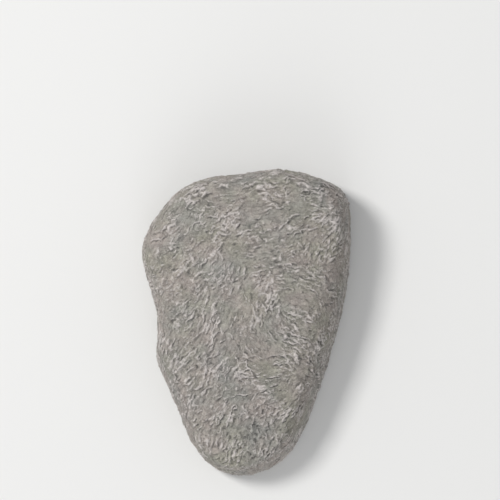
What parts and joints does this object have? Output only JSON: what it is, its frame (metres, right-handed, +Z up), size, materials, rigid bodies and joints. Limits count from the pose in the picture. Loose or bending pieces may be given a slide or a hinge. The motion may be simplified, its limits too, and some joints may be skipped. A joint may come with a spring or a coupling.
{
  "type": "hollow key hiding rock",
  "caption": "Hollow cast garden stone with a flat base, a key tray bonded in its underside, and a sliding cover that closes the tray.",
  "frame": {"origin": "under the middle of the stone's box, on the plane that it rests on", "axes": "+Y along the stone towards its wide end, the way the cover slides off; +Z up; +X across, to the right seen from above with the wide end at the top"},
  "size_m": [0.0594, 0.0874, 0.0279],
  "materials": {
    "stone": "matt cast resin, warm grey with lighter, pinkish and bluish patches and a crinkled natural stone surface",
    "tray_plastic": "black moulded plastic, fine matt texture",
    "cover_plastic": "black moulded plastic, fine matt texture"
  },
  "bodies": {
    "stone": {"rock_body": "stone", "key_tray": "tray_plastic"},
    "cover": {"sliding_cover": "cover_plastic"}
  },
  "joints": [
    {"name": "cover_slide", "type": "slide", "parent": "stone", "child": "cover", "axis": [0, 1, 0], "range_m": [0, 0.078]}
  ]
}
